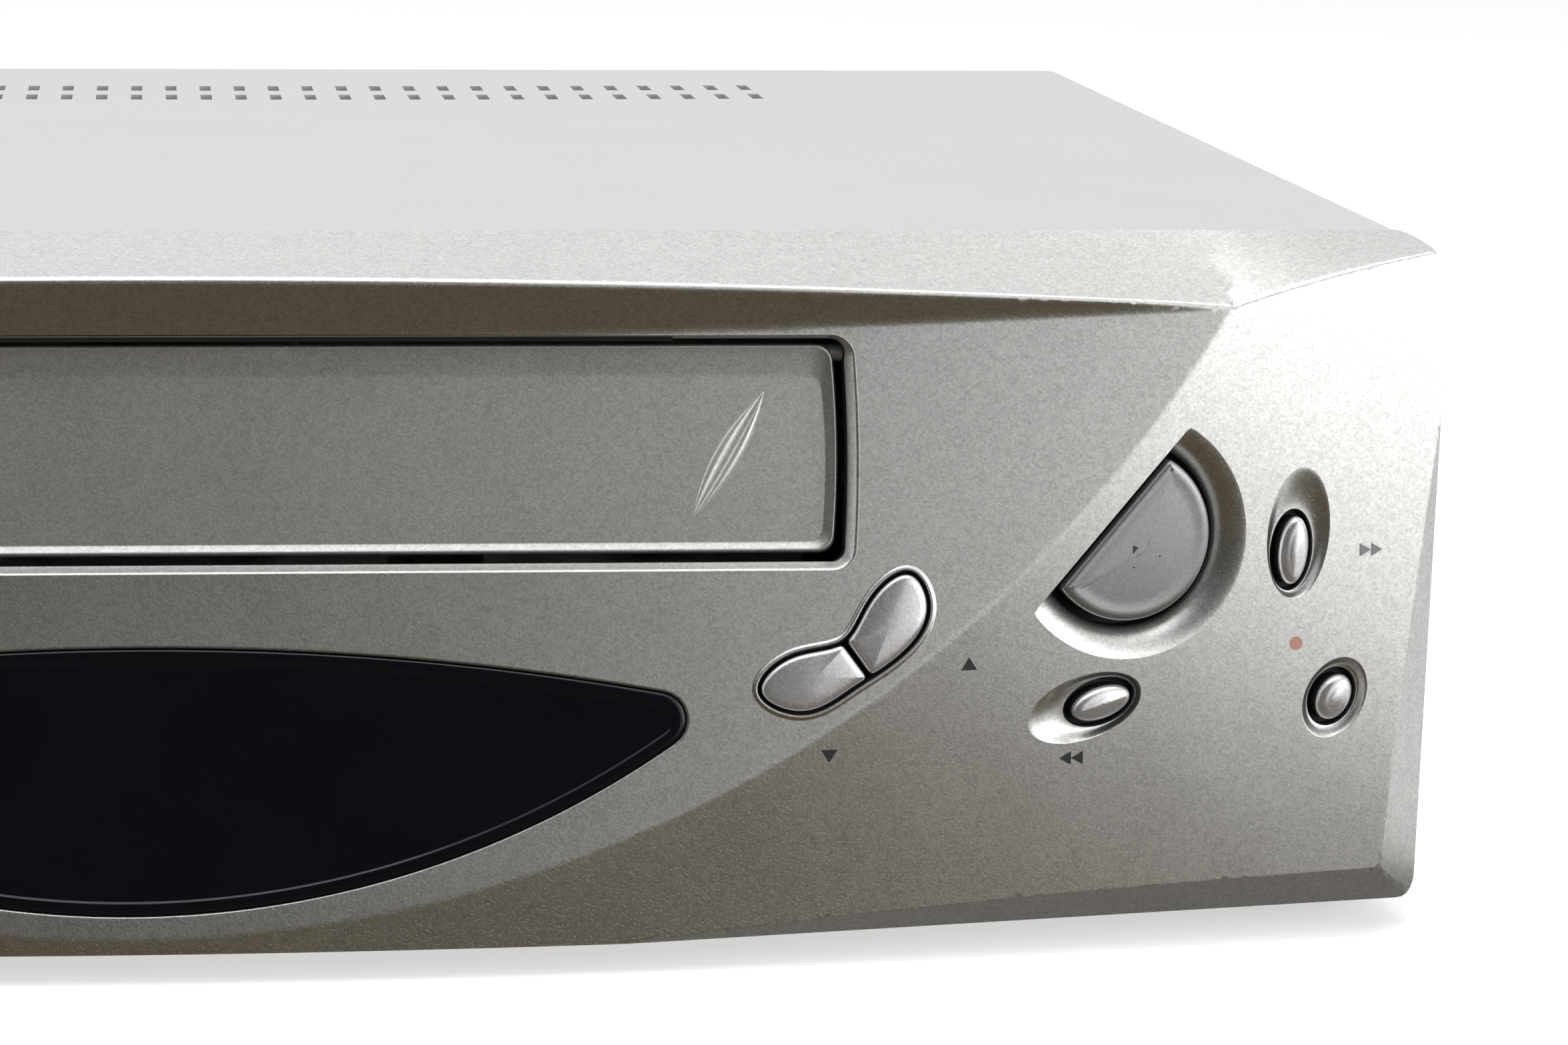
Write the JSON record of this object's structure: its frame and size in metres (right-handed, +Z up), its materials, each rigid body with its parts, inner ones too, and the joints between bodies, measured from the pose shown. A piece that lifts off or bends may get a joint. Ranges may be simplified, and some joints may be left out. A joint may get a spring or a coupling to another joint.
{
  "type": "vhs video cassette recorder",
  "caption": "Slim silver front-loading VHS recorder with a hinged cassette flap, dark display window, pressing keys and a working cassette carriage and tape deck.",
  "frame": {"origin": "on the floor plane under the middle of the bounding box", "axes": "+X to the right seen from the front, +Y to the back, +Z up"},
  "size_m": [0.3598, 0.2886, 0.097],
  "materials": {
    "panel_silver": "fine metallic silver paint on moulded plastic",
    "cover_paint": "pale silver satin paint",
    "flap_grey": "metallic grey paint with fine sparkle",
    "window_black": "glossy smoked black acrylic",
    "key_silver": "bright silver paint",
    "key_grey": "grey satin paint",
    "circuit_board": "phenolic circuit board with green mask",
    "switch_black": "black moulded plastic",
    "display_glass": "dark fluorescent display glass",
    "tray_plastic": "black moulded plastic with fine grain",
    "rubber_black": "matt black rubber",
    "zinc_sheet": "bright zinc-plated steel sheet",
    "screw_steel": "zinc-plated steel",
    "capacitor_sleeve": "shrink sleeve with metal top",
    "cooler_aluminium": "plain aluminium",
    "core_iron": "varnished iron laminations",
    "winding_yellow": "yellow insulating tape",
    "reel_plastic": "white acetal",
    "guide_steel": "polished steel"
  },
  "bodies": {
    "case": {"front_panel": "panel_silver", "display_window": "window_black", "flap_spring": "screw_steel", "key_switches": "switch_black", "key_board_right": "circuit_board", "key_board_left": "circuit_board", "display_board": "circuit_board", "display_tube": "display_glass", "top_cover": "cover_paint", "base_tray": "tray_plastic", "feet": "rubber_black", "rear_panel": "zinc_sheet", "cover_screws": "screw_steel", "main_board": "circuit_board", "board_capacitors": "capacitor_sleeve", "circuit_chips": "switch_black", "heat_sink": "cooler_aluminium", "transformer_core": "core_iron", "transformer_winding": "winding_yellow", "tuner_module": "zinc_sheet", "scart_sockets": "switch_black", "scart_stand": "switch_black", "audio_jacks": "switch_black", "mains_inlet": "switch_black", "carriage_bracket_right": "zinc_sheet", "carriage_bracket_left": "zinc_sheet", "deck_plate": "zinc_sheet", "deck_screws": "screw_steel", "deck_axles": "screw_steel", "lower_drum": "cooler_aluminium", "drum_motor": "screw_steel", "capstan_bearing": "screw_steel", "erase_head": "guide_steel", "audio_control_head": "guide_steel", "loading_motor": "screw_steel"},
    "flap": {"cassette_flap": "flap_grey"},
    "play_button": {"play_button": "key_grey"},
    "stop_button": {"stop_button": "key_grey"},
    "fast_forward_button": {"fast_forward_button": "key_silver"},
    "pause_button": {"pause_button": "key_silver"},
    "rewind_button": {"rewind_button": "key_silver"},
    "eject_button": {"eject_button": "key_silver"},
    "record_button": {"record_button": "key_silver"},
    "power_button": {"power_button": "key_silver"},
    "channel_down_key": {"channel_down_key": "key_silver"},
    "channel_up_key": {"channel_up_key": "key_silver"},
    "carriage_slide": {"slide_plates": "zinc_sheet"},
    "cassette_holder": {"cassette_holder": "zinc_sheet"},
    "supply_reel": {"supply_reel": "reel_plastic"},
    "take_up_reel": {"take_up_reel": "reel_plastic"},
    "idler_arm": {"idler_arm": "screw_steel"},
    "idler_wheel": {"idler_wheel": "rubber_black"},
    "head_drum": {"head_drum": "cooler_aluminium"},
    "supply_guide": {"supply_guide": "guide_steel"},
    "take_up_guide": {"take_up_guide": "guide_steel"},
    "capstan": {"capstan": "screw_steel"},
    "pinch_arm": {"pinch_arm": "screw_steel"},
    "pinch_roller": {"pinch_roller": "rubber_black"},
    "tension_arm": {"tension_arm": "screw_steel"}
  },
  "joints": [
    {"name": "flap_hinge", "type": "hinge", "parent": "case", "child": "flap", "pos_m": [0, -0.12477, 0.08173], "axis": [1, 0, 0], "range_deg": [0, 96], "stiffness_Nm_per_rad": 0.004, "springref_deg": -34.38},
    {"name": "play_press", "type": "slide", "parent": "case", "child": "play_button", "axis": [-0.1596, 0.986, -0.0481], "range_m": [0, 0.0012], "stiffness_N_per_m": 400, "springref_m": -0.001},
    {"name": "stop_press", "type": "slide", "parent": "case", "child": "stop_button", "axis": [0.1596, 0.986, -0.0481], "range_m": [0, 0.0012], "stiffness_N_per_m": 400, "springref_m": -0.001},
    {"name": "fast_forward_press", "type": "slide", "parent": "case", "child": "fast_forward_button", "axis": [-0.1694, 0.9837, -0.0596], "range_m": [0, 0.0012], "stiffness_N_per_m": 400, "springref_m": -0.001},
    {"name": "pause_press", "type": "slide", "parent": "case", "child": "pause_button", "axis": [0.1694, 0.9837, -0.0596], "range_m": [0, 0.0012], "stiffness_N_per_m": 400, "springref_m": -0.001},
    {"name": "rewind_press", "type": "slide", "parent": "case", "child": "rewind_button", "axis": [-0.1445, 0.9889, -0.0333], "range_m": [0, 0.0012], "stiffness_N_per_m": 400, "springref_m": -0.001},
    {"name": "eject_press", "type": "slide", "parent": "case", "child": "eject_button", "axis": [0.1445, 0.9889, -0.0333], "range_m": [0, 0.0012], "stiffness_N_per_m": 400, "springref_m": -0.001},
    {"name": "record_press", "type": "slide", "parent": "case", "child": "record_button", "axis": [-0.1619, 0.9855, -0.0506], "range_m": [0, 0.0012], "stiffness_N_per_m": 400, "springref_m": -0.001},
    {"name": "power_press", "type": "slide", "parent": "case", "child": "power_button", "axis": [0.1619, 0.9855, -0.0506], "range_m": [0, 0.0012], "stiffness_N_per_m": 400, "springref_m": -0.001},
    {"name": "channel_down_press", "type": "slide", "parent": "case", "child": "channel_down_key", "axis": [0, 0.981, -0.1938], "range_m": [0, 0.0012], "stiffness_N_per_m": 400, "springref_m": -0.001},
    {"name": "channel_up_press", "type": "slide", "parent": "case", "child": "channel_up_key", "axis": [0, 0.981, -0.1938], "range_m": [0, 0.0012], "stiffness_N_per_m": 400, "springref_m": -0.001},
    {"name": "holder_travel", "type": "slide", "parent": "case", "child": "carriage_slide", "axis": [0, 1, 0], "range_m": [0, 0.03]},
    {"name": "holder_drop", "type": "slide", "parent": "carriage_slide", "child": "cassette_holder", "axis": [0, 0, -1], "range_m": [0, 0.024]},
    {"name": "supply_reel_spin", "type": "hinge", "parent": "case", "child": "supply_reel", "pos_m": [-0.046, -0.01671, 0.024], "axis": [0, 0, 1], "continuous": true},
    {"name": "take_up_reel_spin", "type": "hinge", "parent": "case", "child": "take_up_reel", "pos_m": [0.046, -0.01671, 0.024], "axis": [0, 0, 1], "continuous": true},
    {"name": "idler_swing", "type": "hinge", "parent": "case", "child": "idler_arm", "pos_m": [0, -0.05071, 0.024], "axis": [0, 0, 1], "range_deg": [-19.7, 19.7]},
    {"name": "idler_wheel_spin", "type": "hinge", "parent": "idler_arm", "child": "idler_wheel", "pos_m": [0, -0.02071, 0.024], "axis": [0, 0, 1], "continuous": true},
    {"name": "drum_spin", "type": "hinge", "parent": "case", "child": "head_drum", "pos_m": [0, 0.08729, 0.03], "axis": [-0.104, 0, 0.9946], "continuous": true},
    {"name": "supply_guide_swing", "type": "hinge", "parent": "case", "child": "supply_guide", "pos_m": [0, 0.08729, 0.0225], "axis": [0, 0, -1], "range_deg": [0, 85]},
    {"name": "take_up_guide_swing", "type": "hinge", "parent": "case", "child": "take_up_guide", "pos_m": [0, 0.08729, 0.0225], "axis": [0, 0, 1], "range_deg": [0, 85]},
    {"name": "capstan_spin", "type": "hinge", "parent": "case", "child": "capstan", "pos_m": [0.07, 0.05929, 0.024], "axis": [0, 0, 1], "continuous": true},
    {"name": "pinch_swing", "type": "hinge", "parent": "case", "child": "pinch_arm", "pos_m": [0.094, 0.07529, 0.024], "axis": [0, 0, -1], "range_deg": [0, 22]},
    {"name": "pinch_roller_spin", "type": "hinge", "parent": "pinch_arm", "child": "pinch_roller", "pos_m": [0.08803, 0.05093, 0.024], "axis": [0, 0, 1], "continuous": true},
    {"name": "tension_swing", "type": "hinge", "parent": "case", "child": "tension_arm", "pos_m": [-0.084, 0.05529, 0.024], "axis": [0, 0, -1], "range_deg": [0, 14], "stiffness_Nm_per_rad": 0.002, "springref_deg": -11.46}
  ],
  "couplings": [
    {"joint": "take_up_guide_swing", "follows": "supply_guide_swing", "ratio": 1}
  ]
}
